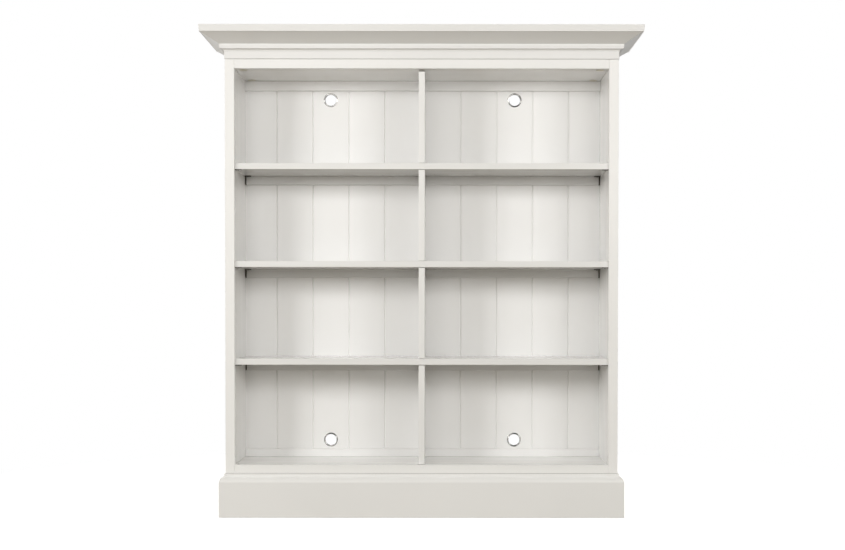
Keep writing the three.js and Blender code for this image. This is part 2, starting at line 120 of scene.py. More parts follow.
# Pine. A pith is a point on the line that the growth rings lie round.
PINE_PALE = (0.66, 0.49, 0.29)
PINE_DARK = (0.47, 0.29, 0.14)
PINE_KNOT = (0.20, 0.09, 0.035)
PINE_ROUGHNESS = (0.5, 0.72)
RING_SCALE = 62.0
RING_SHARPNESS = 2.6
RING_SHADE = 0.75
RING_RELIEF = 0.6
WANDER_ALONG = 0.9
WANDER_ACROSS = 2.4
WANDER_DEPTH = 0.05
KNOT_ALONG = 1.6
KNOT_ACROSS = 7.0
KNOT_SCATTER = 0.9
KNOT_SWELLING = 0.035
KNOT_REACH = (0.03, 0.42)
KNOT_EDGE = (0.05, 0.085)
FIBRE_ALONG = 14.0
FIBRE_ACROSS = 900.0
FIBRE_DETAIL = 3.0
FIBRE_SHADE = 0.35
GRAIN_DEPTH = 0.00012
PITH_OF_UPRIGHTS = (0.74, 0.62, 0.0)
PITH_OF_HEAD = (0.0, 0.55, 1.72)
PITH_OF_BEARERS = (0.0, 0.03, -0.09)

# Metal, as plated and where it is tarnished
ZINC = (0.62, 0.63, 0.64)
NICKEL = (0.56, 0.55, 0.53)
BLACKED_STEEL = (0.10, 0.095, 0.085)
TARNISH_SCALE = 60.0
TARNISH_DETAIL = 4.0
TARNISH_TONE = 0.86
TARNISH_ROUGHNESS = 0.06
SPANGLE_SCALE = 900.0
SPANGLE_DEPTH = 0.00001

# Rubber, plastic, and the dark of painted shade
SHADE_DARK = (0.10, 0.085, 0.065)
RUBBER = (0.050, 0.050, 0.054)
PALE_PLASTIC = (0.70, 0.68, 0.62)
TAN_PLASTIC = (0.58, 0.55, 0.46)
MOULDED_SCALE = 35.0
MOULDED_DETAIL = 3.0
MOULDED_TONE = 0.9
MOULDED_ROUGHNESS = 0.05

# Edges: how far each kind of piece is rounded
TIMBER_EDGE = 0.0018
RAIL_EDGE = 0.0015
SHELF_EDGE = 0.0012
BOARD_EDGE = 0.0010
FACE_EDGE = 0.0009
CORNICE_EDGE = 0.0008
MAGNET_EDGE = 0.0008
FORK_EDGE = 0.0006
PANEL_EDGE = 0.0005
SKIRTING_EDGE = 0.0005
MOULDING_EDGE = 0.0004
HINGE_EDGE = 0.0004
PLATE_EDGE = 0.0003
NO_EDGE = 0.0
EDGE_STEPS = 2
EDGE_PROFILE = 0.5
EDGE_ANGLE = math.radians(29)
FLAT_ANGLE = math.radians(0.5)
SMOOTH_ANGLE = math.radians(30)
WELD_DISTANCE = 0.00001
SAME_POINT = 0.000001
FACE_WEIGHT = 100


def is_socket(value):
    return hasattr(value, "is_output")


def node_tree(block):
    block.use_nodes = True
    tree = block.node_tree
    tree.nodes.clear()
    return tree


def add(tree, kind, inputs=None, **settings):
    node = tree.nodes.new(kind)
    for name, value in settings.items():
        setattr(node, name, value)
    for name, value in (inputs or {}).items():
        if is_socket(value):
            tree.links.new(value, node.inputs[name])
        else:
            node.inputs[name].default_value = value
    return node


def math_node(tree, operation, *values):
    return add(tree, "ShaderNodeMath", dict(enumerate(values)), operation=operation).outputs[0]


def put_range(tree, value, low, high, start=0.0, end=1.0):
    """The value moved from start..end to low..high, and held there beyond."""
    inputs = {"Value": value, "From Min": start, "From Max": end, "To Min": low, "To Max": high}
    return add(tree, "ShaderNodeMapRange", inputs).outputs[0]


def mix_numbers(tree, factor, first, second):
    return add(tree, "ShaderNodeMix", {"Factor": factor, "A": first, "B": second}).outputs[0]


def mix_colors(tree, factor, first, second):
    """A mix of two colours, each a socket or three numbers."""
    colors = [value if is_socket(value) else (*value, 1.0) for value in (first, second)]
    inputs = dict(zip(MIX_COLOR_INPUTS, (factor, *colors)))
    return add(tree, "ShaderNodeMix", inputs, data_type="RGBA").outputs[MIX_COLOR_OUTPUT]


def make_camera():
    camera = bpy.data.cameras.new("camera")
    camera.lens = CAMERA_LENS
    camera.sensor_width = CAMERA_SENSOR
    camera.shift_x, camera.shift_y = CAMERA_SHIFT
    camera.clip_end = CAMERA_REACH
    holder = bpy.data.objects.new("camera", camera)
    bpy.context.scene.collection.objects.link(holder)
    level = Matrix.Rotation(math.pi / 2 - CAMERA_DOWN, 4, "X")
    roll = Matrix.Rotation(CAMERA_ROLL, 4, "Z")
    holder.matrix_world = Matrix.Translation(CAMERA_PLACE) @ level @ roll
    bpy.context.scene.camera = holder


def seen_directly(tree):
    """1 for a ray that shows the ground: from the camera, in a gloss or through glass."""
    path = add(tree, "ShaderNodeLightPath")
    either = math_node(tree, "MAXIMUM", path.outputs["Is Camera Ray"], path.outputs["Is Glossy Ray"])
    return math_node(tree, "MAXIMUM", either, path.outputs["Is Transmission Ray"])


def make_world():
    world = bpy.data.worlds.new("studio")
    bpy.context.scene.world = world
    tree = node_tree(world)
    ambient = add(tree, "ShaderNodeBackground", {"Color": (*AMBIENT_COLOR, 1.0), "Strength": AMBIENT})
    ground = add(tree, "ShaderNodeBackground", {"Color": WHITE, "Strength": 1.0})
    shown = seen_directly(tree)
    mix = add(tree, "ShaderNodeMixShader", {0: shown, 1: ambient.outputs[0], 2: ground.outputs[0]})
    add(tree, "ShaderNodeOutputWorld", {"Surface": mix.outputs[0]})


def make_floor():
    mesh = bpy.data.meshes.new("floor")
    corners = [(-1, -1), (1, -1), (1, 1), (-1, 1)]
    mesh.from_pydata([(x * FLOOR_HALF, y * FLOOR_HALF, 0.0) for x, y in corners], [], [(0, 1, 2, 3)])
    floor = bpy.data.objects.new("floor", mesh)
    bpy.context.scene.collection.objects.link(floor)
    material, tree = start_material("floor")
    bounce = add(tree, "ShaderNodeBsdfDiffuse", {"Color": (*FLOOR_BOUNCE, 1.0)})
    lit = add(tree, "ShaderNodeBsdfDiffuse", {"Color": (FLOOR_SEEN, FLOOR_SEEN, FLOOR_SEEN, 1.0)})
    glow = add(tree, "ShaderNodeEmission", {"Color": WHITE, "Strength": FLOOR_GLOW})
    near = add(tree, "ShaderNodeAddShader", {0: lit.outputs[0], 1: glow.outputs[0]})
    far = add(tree, "ShaderNodeEmission", {"Color": WHITE, "Strength": 1.0})
    place = add(tree, "ShaderNodeTexCoord").outputs["Object"]
    distance = add(tree, "ShaderNodeVectorMath", {0: place}, operation="LENGTH").outputs["Value"]
    away = put_range(tree, distance, 0.0, 1.0, *FLOOR_FADE)
    seen = add(tree, "ShaderNodeMixShader", {0: away, 1: near.outputs[0], 2: far.outputs[0]})
    shown = seen_directly(tree)
    mix = add(tree, "ShaderNodeMixShader", {0: shown, 1: bounce.outputs[0], 2: seen.outputs[0]})
    add(tree, "ShaderNodeOutputMaterial", {"Surface": mix.outputs[0]})
    mesh.materials.append(material)


def make_lamps():
    for name, lamp in LAMPS.items():
        light = bpy.data.lights.new(name, "AREA")
        light.shape = "SQUARE"
        light.size = lamp["size"]
        light.energy = lamp["power"]
        holder = bpy.data.objects.new(name, light)
        bpy.context.scene.collection.objects.link(holder)
        place = Vector(lamp["place"])
        holder.location = place
        holder.rotation_euler = (Vector(LAMP_AIM) - place).to_track_quat("-Z", "Y").to_euler()


# Materials. Their texture coordinates are the frame's own, because each piece is made in place.
def start_material(name):
    material = bpy.data.materials.new(name)
    return material, node_tree(material)


def stretched(tree, scale=(1.0, 1.0, 1.0), offset=(0.0, 0.0, 0.0)):
    place = add(tree, "ShaderNodeTexCoord").outputs["Object"]
    return add(tree, "ShaderNodeMapping", {"Vector": place, "Scale": scale, "Location": offset}).outputs[0]


def along(axis, lengthwise, across):
    return tuple(lengthwise if i == axis else across for i in range(3))


def noise(tree, vector, scale=1.0, detail=2.0):
    return add(tree, "ShaderNodeTexNoise", {"Vector": vector, "Scale": scale, "Detail": detail}).outputs[0]


def bump(tree, height, distance, normal=None):
    inputs = {"Height": height, "Distance": distance, "Strength": 1.0}
    if normal is not None:
        inputs["Normal"] = normal
    return add(tree, "ShaderNodeBump", inputs).outputs[0]


def toned(color, tone):
    return tuple(value * tone for value in color)


def finish_material(tree, color, roughness, normal, metallic=0.0):
    inputs = {"Base Color": color, "Roughness": roughness, "Metallic": metallic, "Normal": normal}
    shader = add(tree, "ShaderNodeBsdfPrincipled", inputs)
    add(tree, "ShaderNodeOutputMaterial", {"Surface": shader.outputs[0]})


def paint(name, axis, tone=1.0, gloss=PAINT_ROUGHNESS, level_gloss=None, upper=None):
    """Satin paint, brushed along an axis; a tone below 1 darkens it as painted shade. Level faces may be
    smoother, and upper ones matt.
    """
    material, tree = start_material(name)
    base = toned(PAINT, tone)
    plain = stretched(tree)
    tint = noise(tree, plain, TINT_SCALE, TINT_DETAIL)
    pale = tuple(min(PAINT_PALEST, value) for value in toned(base, 1 + TINT_CHANGE))
    deep = toned(base, 1 - TINT_CHANGE)
    color = mix_colors(tree, put_range(tree, tint, 0.0, 1.0, *NOISE_MIDDLE), deep, pale)
    strokes = noise(tree, stretched(tree, along(axis, STROKE_ALONG, STROKE_ACROSS)))
    peel = noise(tree, plain, PEEL_SCALE, PEEL_DETAIL)
    surface = bump(tree, peel, PEEL_DEPTH, bump(tree, strokes, STROKE_DEPTH))
    patches = noise(tree, stretched(tree, along(axis, PATCH_ALONG, PATCH_ACROSS)))
    roughness = put_range(tree, patches, *gloss, *NOISE_MOST)
    if level_gloss:
        normal = add(tree, "ShaderNodeNewGeometry").outputs["Normal"]
        rise = add(tree, "ShaderNodeSeparateXYZ", {"Vector": normal}).outputs["Z"]
        level = put_range(tree, math_node(tree, "ABSOLUTE", rise), 0.0, 1.0, *LEVEL_NORMAL)
        smooth = put_range(tree, patches, *level_gloss, *NOISE_MOST)
        roughness = mix_numbers(tree, level, roughness, smooth)
        if upper:
            above = put_range(tree, rise, 0.0, 1.0, *LEVEL_NORMAL)
            roughness = mix_numbers(tree, above, roughness, upper)
    finish_material(tree, color, roughness, surface)
    return material


def pine(name, axis, pith):
    """Planed softwood: growth rings about a line along the axis, at the pith, with a few knots."""
    material, tree = start_material(name)
    wander = noise(tree, stretched(tree, along(axis, WANDER_ALONG, WANDER_ACROSS)))
    knot_space = stretched(tree, along(axis, KNOT_ALONG, KNOT_ACROSS))
    knot_inputs = {"Vector": knot_space, "Scale": 1.0, "Randomness": KNOT_SCATTER}
    knots = add(tree, "ShaderNodeTexVoronoi", knot_inputs).outputs["Distance"]
    near_knot = put_range(tree, knots, 1.0, 0.0, *KNOT_REACH)
    grown = stretched(tree, along(axis, 0.0, 1.0), toned(pith, -1))
    radius = add(tree, "ShaderNodeVectorMath", {0: grown}, operation="LENGTH").outputs["Value"]
    swollen = math_node(tree, "ADD", radius, math_node(tree, "MULTIPLY", wander, WANDER_DEPTH))
    swollen = math_node(tree, "ADD", swollen, math_node(tree, "MULTIPLY", near_knot, KNOT_SWELLING))
    turns = math_node(tree, "FRACT", math_node(tree, "MULTIPLY", swollen, RING_SCALE))
    rings = math_node(tree, "POWER", turns, RING_SHARPNESS)
    fibres = noise(tree, stretched(tree, along(axis, FIBRE_ALONG, FIBRE_ACROSS)), 1.0, FIBRE_DETAIL)
    ring_shade = math_node(tree, "MULTIPLY", rings, RING_SHADE)
    grain = math_node(tree, "ADD", ring_shade, math_node(tree, "MULTIPLY", fibres, FIBRE_SHADE))
    color = mix_colors(tree, grain, PINE_PALE, PINE_DARK)
    color = mix_colors(tree, put_range(tree, knots, 1.0, 0.0, *KNOT_EDGE), color, PINE_KNOT)
    height = math_node(tree, "ADD", math_node(tree, "MULTIPLY", rings, RING_RELIEF), fibres)
    roughness = put_range(tree, fibres, *PINE_ROUGHNESS)
    finish_material(tree, color, roughness, bump(tree, height, GRAIN_DEPTH))
    return material


def metal(name, color, roughness, patch=TARNISH_SCALE, tarnish=TARNISH_TONE):
    """Plated metal, in patches down to the share of its colour that tarnish gives."""
    material, tree = start_material(name)
    plain = stretched(tree)
    cloud = noise(tree, plain, patch, TARNISH_DETAIL)
    clean = put_range(tree, cloud, 0.0, 1.0, *NOISE_CORE)
    mixed = mix_colors(tree, clean, toned(color, tarnish), color)
    dull, bright = roughness + TARNISH_ROUGHNESS, roughness - TARNISH_ROUGHNESS
    rough = put_range(tree, cloud, dull, bright, *NOISE_MIDDLE)
    spangle_inputs = {"Vector": plain, "Scale": SPANGLE_SCALE}
    spangle = add(tree, "ShaderNodeTexVoronoi", spangle_inputs).outputs["Distance"]
    finish_material(tree, mixed, rough, bump(tree, spangle, SPANGLE_DEPTH), 1.0)
    return material


def moulded(name, color, roughness, grain, depth):
    """Rubber, plastic or the dark of painted shade, with a fine grain."""
    material, tree = start_material(name)
    plain = stretched(tree)
    cloud = noise(tree, plain, MOULDED_SCALE, MOULDED_DETAIL)
    clean = put_range(tree, cloud, 0.0, 1.0, *NOISE_MIDDLE)
    mixed = mix_colors(tree, clean, toned(color, MOULDED_TONE), color)
    bright, dull = roughness - MOULDED_ROUGHNESS, roughness + MOULDED_ROUGHNESS
    rough = put_range(tree, cloud, bright, dull, *NOISE_MIDDLE)
    finish_material(tree, mixed, rough, bump(tree, noise(tree, plain, grain), depth))
    return material


# Each look: the function that makes it, and its values
LOOKS = {
    "paint_level": (paint, {"axis": ALONG_X}),
    "paint_upright": (paint, {"axis": ALONG_Z}),
    "paint_wall": (paint, {"axis": ALONG_Z, "gloss": BOARD_ROUGHNESS}),
    "paint_board": (paint, {"axis": ALONG_X, "level_gloss": BOARD_ROUGHNESS}),
    "paint_top": (paint, {"axis": ALONG_X, "level_gloss": BOARD_ROUGHNESS, "upper": TOP_ROUGHNESS}),
    # Painted shade: the looks given a tone are darkened copies of the paint for parts in shade.
    "paint_shelf": (paint, {"axis": ALONG_X, "tone": SHELF_PAINTED_SHADE, "level_gloss": BOARD_ROUGHNESS}),
    "paint_rear_rail": (paint, {"axis": ALONG_X, "tone": REAR_RAIL_PAINTED_SHADE}),
    "paint_divider": (paint, {"axis": ALONG_Z, "tone": DIVIDER_PAINTED_SHADE}),
    "paint_front": (paint, {"axis": ALONG_X, "tone": FRONT_PAINTED_SHADE}),
    "paint_front_side": (paint, {"axis": ALONG_Y, "tone": FRONT_PAINTED_SHADE}),
    "paint_cap": (paint, {"axis": ALONG_X, "tone": CAP_PAINTED_SHADE}),
    "paint_cornice": (paint, {"axis": ALONG_X, "tone": CORNICE_PAINTED_SHADE}),
    "paint_cornice_side": (paint, {"axis": ALONG_Y, "tone": CORNICE_PAINTED_SHADE}),
    "paint_cornice_return": (paint, {"axis": ALONG_Y, "tone": RETURN_PAINTED_SHADE}),
    "paint_panel": (paint, {"axis": ALONG_Z}),
    "pine_upright": (pine, {"axis": ALONG_Z, "pith": PITH_OF_UPRIGHTS}),
    "pine_level": (pine, {"axis": ALONG_X, "pith": PITH_OF_HEAD}),
    "pine_bearer": (pine, {"axis": ALONG_X, "pith": PITH_OF_BEARERS}),
    "zinc_steel": (metal, {"color": ZINC, "roughness": 0.34}),
    # Painted shade: tarnish down to 0.16 of the nickel's colour darkens the cable rings in patches, as shade
    # at the holes' rims.
    "worn_nickel": (metal, {"color": NICKEL, "roughness": 0.14, "patch": 34.0, "tarnish": 0.16}),
    "dark_steel": (metal, {"color": BLACKED_STEEL, "roughness": 0.42}),
    # Painted shade: the dark of the sheets in the rails' gaps and of the line above the skirting.
    "dark_board": (moulded, {"color": SHADE_DARK, "roughness": 0.8, "grain": 500.0, "depth": 0.00003}),
    "castor_rubber": (moulded, {"color": RUBBER, "roughness": 0.58, "grain": 700.0, "depth": 0.00004}),
    "pale_plastic": (moulded, {"color": PALE_PLASTIC, "roughness": 0.42, "grain": 1400.0, "depth": 0.00001}),
    "tan_plastic": (moulded, {"color": TAN_PLASTIC, "roughness": 0.45, "grain": 1400.0, "depth": 0.00001}),
}
looks = {name: make(name, **values) for name, (make, values) in LOOKS.items()}

# Which look and which rounding each node has, by the start of its name. The first that fits counts.
NODE_LOOKS = (
    ("jamb", "pine_upright", TIMBER_EDGE),
    ("head", "pine_level", TIMBER_EDGE),
    ("plinth_back", "pine_bearer", RAIL_EDGE),
    ("castor_bearer", "pine_bearer", RAIL_EDGE),
    ("cornice_side", "paint_cornice_side", CORNICE_EDGE),
    ("cornice_moulding_front", "paint_cornice", MOULDING_EDGE),
    ("cornice_moulding_right", "paint_cornice_return", MOULDING_EDGE),
    ("cornice_moulding_left", "paint_cornice_side", MOULDING_EDGE),
    ("cornice_cap", "paint_cap", MOULDING_EDGE),
    ("cornice_front_board", "paint_cornice", CORNICE_EDGE),
    ("side_panel", "paint_wall", BOARD_EDGE),
    ("stile", "paint_upright", BOARD_EDGE),
    ("top_rail", "paint_front", FACE_EDGE),
    ("bottom_rail", "paint_level", FACE_EDGE),
    ("divider", "paint_divider", SHELF_EDGE),
    ("shelf", "paint_shelf", SHELF_EDGE),
    ("back_panel", "paint_panel", PANEL_EDGE),
    ("rear_rail_shelf", "paint_rear_rail", RAIL_EDGE),
    ("rear_rail", "paint_level", RAIL_EDGE),
    ("skirting_front", "paint_front", SKIRTING_EDGE),
    ("skirting", "paint_front_side", SKIRTING_EDGE),
    ("top_panel", "paint_top", BOARD_EDGE),
    ("bottom_board", "paint_board", BOARD_EDGE),
    ("hinge", "zinc_steel", HINGE_EDGE),
    ("castor_fork", "zinc_steel", FORK_EDGE),
    ("castor_axle", "zinc_steel", HINGE_EDGE),
    ("castor_wheel", "castor_rubber", NO_EDGE),
    ("catch_magnet", "pale_plastic", MAGNET_EDGE),
    ("catch_strike", "zinc_steel", PLATE_EDGE),
)


def round_edges(node, width):
    """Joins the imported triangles, rounds their edges, and shades the rest by its faces' size."""
    mesh = node.data
    for name in ("custom_normal", "sharp_edge"):
        if name in mesh.attributes:
            mesh.attributes.remove(mesh.attributes[name])
    mesh.shade_smooth()
    weld = node.modifiers.new("weld", "WELD")
    weld.merge_threshold = WELD_DISTANCE
    flat = node.modifiers.new("flat", "DECIMATE")
    flat.decimate_type = "DISSOLVE"
    flat.angle_limit = FLAT_ANGLE
    bevel = node.modifiers.new("bevel", "BEVEL")
    bevel.width = width
    bevel.segments = EDGE_STEPS
    bevel.limit_method = "ANGLE"
    bevel.angle_limit = EDGE_ANGLE
    shade = node.modifiers.new("shade", "WEIGHTED_NORMAL")
    shade.weight = FACE_WEIGHT


def dress_nodes():
    for name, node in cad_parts.items():
        look, width = next((look, width) for start, look, width in NODE_LOOKS if name.startswith(start))
        node.data.materials.clear()
        node.data.materials.append(looks[look])
        if width:
            round_edges(node, width)


# Pieces made here. Each is built in the frame's coordinates, from a shape in its own and a place.
def add_piece(name, shape, place, look, body):
    shape.transform(place)
    bmesh.ops.recalc_face_normals(shape, faces=shape.faces)
    mesh = bpy.data.meshes.new(name)
    shape.to_mesh(mesh)
    shape.free()
    mesh.shade_smooth()
    mesh.set_sharp_from_angle(angle=SMOOTH_ANGLE)
    mesh.materials.append(looks[look])
    piece = bpy.data.objects.new(name, mesh)
    bpy.context.scene.collection.objects.link(piece)
    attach(piece, body)
    return piece


def facing(direction, place):
    """A placing that turns a shape's +Z to the direction given."""
    turn = Vector(direction).to_track_quat("Z", "Y").to_matrix().to_4x4()
    return Matrix.Translation(place) @ turn


def mirrored(sign):
    """A placing that leaves a shape of the right side there, or with -1 moves it to the left."""
    return Matrix.Scale(sign, 4, (1, 0, 0))


def circle(radius, sides, height):
    """The points of a level circle."""
    angles = [2 * math.pi * i / sides for i in range(sides)]
    return [(radius * math.cos(angle), radius * math.sin(angle), height) for angle in angles]


def turned(profile, sides, closed=False):
    """A shape turned about Z from a profile of radius and height."""
    shape = bmesh.new()
    levels = [[shape.verts.new(point) for point in circle(r, sides, z)] for r, z in profile]
    steps = len(profile) if closed else len(profile) - 1
    for i in range(sides):
        after = (i + 1) % sides
        for j in range(steps):
            low, high = levels[j], levels[(j + 1) % len(profile)]
            shape.faces.new((low[i], low[after], high[after], high[i]))
    bmesh.ops.remove_doubles(shape, verts=shape.verts, dist=SAME_POINT)
    return shape


def block(low, high, edge=0.0):
    shape = bmesh.new()
    bmesh.ops.create_cube(shape, size=1.0)
    low, high = Vector(low), Vector(high)
    for vertex in shape.verts:
        vertex.co = Vector(high[i] if vertex.co[i] > 0 else low[i] for i in range(3))
    if edge:
        bmesh.ops.bevel(shape, geom=shape.edges[:], offset=edge, segments=EDGE_STEPS, profile=EDGE_PROFILE,
                        affect="EDGES")
    return shape


def merge(*shapes):
    whole = shapes[0]
    for shape in shapes[1:]:
        mesh = bpy.data.meshes.new("part")
        shape.to_mesh(mesh)
        shape.free()
        whole.from_mesh(mesh)
        bpy.data.meshes.remove(mesh)
    return whole


# Screw heads, in shares of their radius and height
HEAD_SIDES = 24
HEAD_DOME_SHARES = ((1.0, 0.0), (1.0, 0.35), (0.86, 0.85), (0.66, 1.0))
CROSS_ARM_SHARE = 0.55
CROSS_HALF_SHARE = 0.12
CROSS_DEPTH_SHARE = 0.7


def cross_outline(arm, half):
    """The twelve corners of a cross, anticlockwise, a quarter at a time."""
    corners = [(arm, half), (half, half), (half, arm)]
    for _ in range(3):
        corners += [(-y, x) for x, y in corners[-3:]]
    return corners


def screw_head(radius, height):
    """A domed head with a cross in it, standing on z = 0."""
    shape = bmesh.new()
    dome = [[shape.verts.new(point) for point in circle(radius * r, HEAD_SIDES, height * z)]
            for r, z in HEAD_DOME_SHARES]
    for ring, after in zip(dome, dome[1:]):
        for i in range(HEAD_SIDES):
            j = (i + 1) % HEAD_SIDES
            shape.faces.new((ring[i], ring[j], after[j], after[i]))
    cross = cross_outline(radius * CROSS_ARM_SHARE, radius * CROSS_HALF_SHARE)
    rim = [shape.verts.new((x, y, height)) for x, y in cross]
    bottom = [shape.verts.new((x, y, height * (1 - CROSS_DEPTH_SHARE))) for x, y in cross]
    edges = []
    for loop in (dome[-1], rim):
        for i, vertex in enumerate(loop):
            ends = (vertex, loop[(i + 1) % len(loop)])
            edges.append(shape.edges.get(ends) or shape.edges.new(ends))
    bmesh.ops.triangle_fill(shape, use_beauty=True, use_dissolve=False, edges=edges)
    for i in range(len(cross)):
        j = (i + 1) % len(cross)
        shape.faces.new((rim[i], rim[j], bottom[j], bottom[i]))
    shape.faces.new(bottom)
    return shape


def screws(places, direction, radius, height):
    """A list of screw heads that face one way, one at each place."""
    heads = []
    for place in places:
        head = screw_head(radius, height)
        head.transform(facing(direction, place))
        heads.append(head)
    return heads


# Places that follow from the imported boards
def lowest(node):
    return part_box(node)[0]


def highest(node):
    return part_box(node)[1]


def middle(node):
    return (lowest(node) + highest(node)) / 2


SHELVES = ("shelf_1", "shelf_2", "shelf_3")
PANEL_FRONT = lowest("back_panel_right").y
PANEL_BACK = highest("back_panel_right").y
WALL_X = lowest("side_panel_right").x

# Rings round the cable holes: half round, with a sleeve through the panel
HOLE_X = 0.3955
HOLE_OVER_FLOOR = 0.071
HOLE_UNDER_TOP = 0.0785
RING_OUTER = 0.030
RING_BORE = 0.0238
RING_SLEEVE = 0.0248
RING_PROUD = 0.0026
RING_STEPS = 12
RING_SIDES = 64


def make_cable_rings():
    depth = PANEL_BACK - PANEL_FRONT
    crest, half = (RING_OUTER + RING_BORE) / 2, (RING_OUTER - RING_BORE) / 2
    arch = [math.pi * i / RING_STEPS for i in range(RING_STEPS + 1)]
    profile = [(RING_BORE, -depth), (RING_SLEEVE, -depth), (RING_SLEEVE, 0.0)]
    profile += [(crest + half * math.cos(a), RING_PROUD * math.sin(a)) for a in arch]
    levels = (highest("bottom_board").z + HOLE_OVER_FLOOR, lowest("top_panel").z - HOLE_UNDER_TOP)
    holes = [(sign * HOLE_X, z) for z in levels for sign in (-1, 1)]
    for i, (x, z) in enumerate(holes):
        place = facing((0, -1, 0), (x, PANEL_FRONT, z))
        ring = turned(profile, RING_SIDES, closed=True)
        # The rings' dark patches are painted shade at the holes' rims.
        add_piece(f"cable_ring_{i + 1}", ring, place, "worn_nickel", DOOR)


# Clips under the shelves' corners, each with its screw
CLIP_LONG = 0.026
CLIP_DEEP = 0.018
CLIP_THICK = 0.0035
CLIP_EDGE = 0.0004
CLIP_SETBACK = 0.0008
CLIP_SCREW_RADIUS = 0.0035
CLIP_SCREW_HEIGHT = 0.0014


def make_shelf_clips():
    fronts = (lowest("shelf_1").y + CLIP_SETBACK, lowest("rear_rail_shelf_1").y - CLIP_SETBACK - CLIP_DEEP)
    for shelf in SHELVES:
        z = lowest(shelf).z
        for side, sign in SIDES:
            for where, front in zip(("front", "rear"), fronts):
                low = (WALL_X - CLIP_LONG, front, z - CLIP_THICK)
                plate = block(low, (WALL_X, front + CLIP_DEEP, z), CLIP_EDGE)
                spot = (WALL_X - CLIP_LONG / 2, front + CLIP_DEEP / 2, z - CLIP_THICK)
                clip = merge(plate, *screws([spot], (0, 0, -1), CLIP_SCREW_RADIUS, CLIP_SCREW_HEIGHT))
                add_piece(f"{shelf}_clip_{side}_{where}", clip, mirrored(sign), "dark_steel", DOOR)


# Painted shade: dark sheets on the wall and on the back panel in the gaps at the ends of the rails under the
# shelves
SHADE_SHEET_THICK = 0.0004


def make_rail_gap_shade():
    for shelf in SHELVES:
        rail = f"rear_rail_{shelf}"
        low, high = lowest(rail), highest(rail)
        for side, sign in SIDES:
            inner = WALL_X - SHADE_SHEET_THICK
            on_wall = block((inner, low.y, low.z), (WALL_X, high.y, high.z))
            on_panel = block((high.x, PANEL_FRONT - SHADE_SHEET_THICK, low.z), (inner, PANEL_FRONT, high.z))
            shade_sheet = merge(on_wall, on_panel)
            # Each sheet is a painted shadow in its gap.
            add_piece(f"{rail}_gap_{side}", shade_sheet, mirrored(sign), "dark_board", DOOR)


# Painted shade: a dark strip just proud of the face, a painted shadow line above the skirting
SHADOW_LINE_HEIGHT = 0.0010
SHADOW_LINE_PROUD = 0.00015


def make_skirting_shadow_line():
    bottom = highest("skirting_front").z
    top = bottom + SHADOW_LINE_HEIGHT
    face = lowest("stile_right").y
    side, rear = highest("side_panel_right").x, highest("side_panel_right").y
    proud_side, proud_face = side + SHADOW_LINE_PROUD, face - SHADOW_LINE_PROUD
    strips = [
        block((-proud_side, proud_face, bottom), (proud_side, face, top)),
        block((-proud_side, face, bottom), (-side, rear, top)),
        block((side, face, bottom), (proud_side, rear, top)),
    ]
    # The strip is a painted shadow where the skirting meets the face.
    add_piece("skirting_shadow_line", merge(*strips), Matrix(), "dark_board", DOOR)


# Caps over the fixings in the top panel, with a domed edge in shares of their radius and height
CAP_FROM_WALL = 0.033
CAP_FROM_FRONT = 0.018
CAP_FROM_BACK = 0.044
CAP_RADIUS = 0.0166
CAP_HEIGHT = 0.003
CAP_SIDES = 32
CAP_SHARES = ((0.0, 0.0), (1.0, 0.0), (1.0, 0.4), (0.92, 0.75), (0.7, 0.94), (0.0, 1.0))


def make_cover_caps():
    profile = [(CAP_RADIUS * r, CAP_HEIGHT * z) for r, z in CAP_SHARES]
    rows = (lowest("top_panel").y + CAP_FROM_FRONT, highest("top_panel").y - CAP_FROM_BACK)
    spots = [(sign * (WALL_X - CAP_FROM_WALL), y) for y in rows for sign in (-1, 1)]
    for i, (x, y) in enumerate(spots):
        place = facing((0, 0, -1), (x, y, lowest("top_panel").z))
        cap = turned(profile, CAP_SIDES)
        add_piece(f"cover_cap_{i + 1}", cap, place, "tan_plastic", DOOR)


# Screws in the hinges' leaves, at heights from the middle of the pin
HINGES = 3
LEAF_THICK = 0.0025
LEAF_SCREW_RADIUS = 0.0042
LEAF_SCREW_HEIGHT = 0.0014
OUTER_SCREW_RISE = 0.044
INNER_SCREW_RISE = 0.015
DOOR_SCREWS_Y = 0.175
DOOR_SCREWS_APART = 0.018
FRAME_SCREWS_X = -0.8125


def make_hinge_screws():
    door_face = highest("hinge_door_leaf_1").x - LEAF_THICK
    frame_face = lowest("jamb_left").y - LEAF_THICK
    half = DOOR_SCREWS_APART / 2
    door_spots = [(DOOR_SCREWS_Y + sign_y * half, sign_z * OUTER_SCREW_RISE)
                  for sign_z in (-1, 1) for sign_y in (-1, 1)]
    door_spots.append((DOOR_SCREWS_Y, 0.0))
    rises = (-OUTER_SCREW_RISE, -INNER_SCREW_RISE, INNER_SCREW_RISE, OUTER_SCREW_RISE)
    size = (LEAF_SCREW_RADIUS, LEAF_SCREW_HEIGHT)
    for i in range(HINGES):
        level = middle(f"hinge_pin_{i + 1}").z
        heads = screws([(door_face, y, level + rise) for y, rise in door_spots], (-1, 0, 0), *size)
        add_piece(f"hinge_door_screws_{i + 1}", merge(*heads), Matrix(), "zinc_steel", DOOR)
        heads = screws([(FRAME_SCREWS_X, frame_face, level + rise) for rise in rises], (0, -1, 0), *size)
        add_piece(f"hinge_frame_screws_{i + 1}", merge(*heads), Matrix(), "zinc_steel", FIXED)


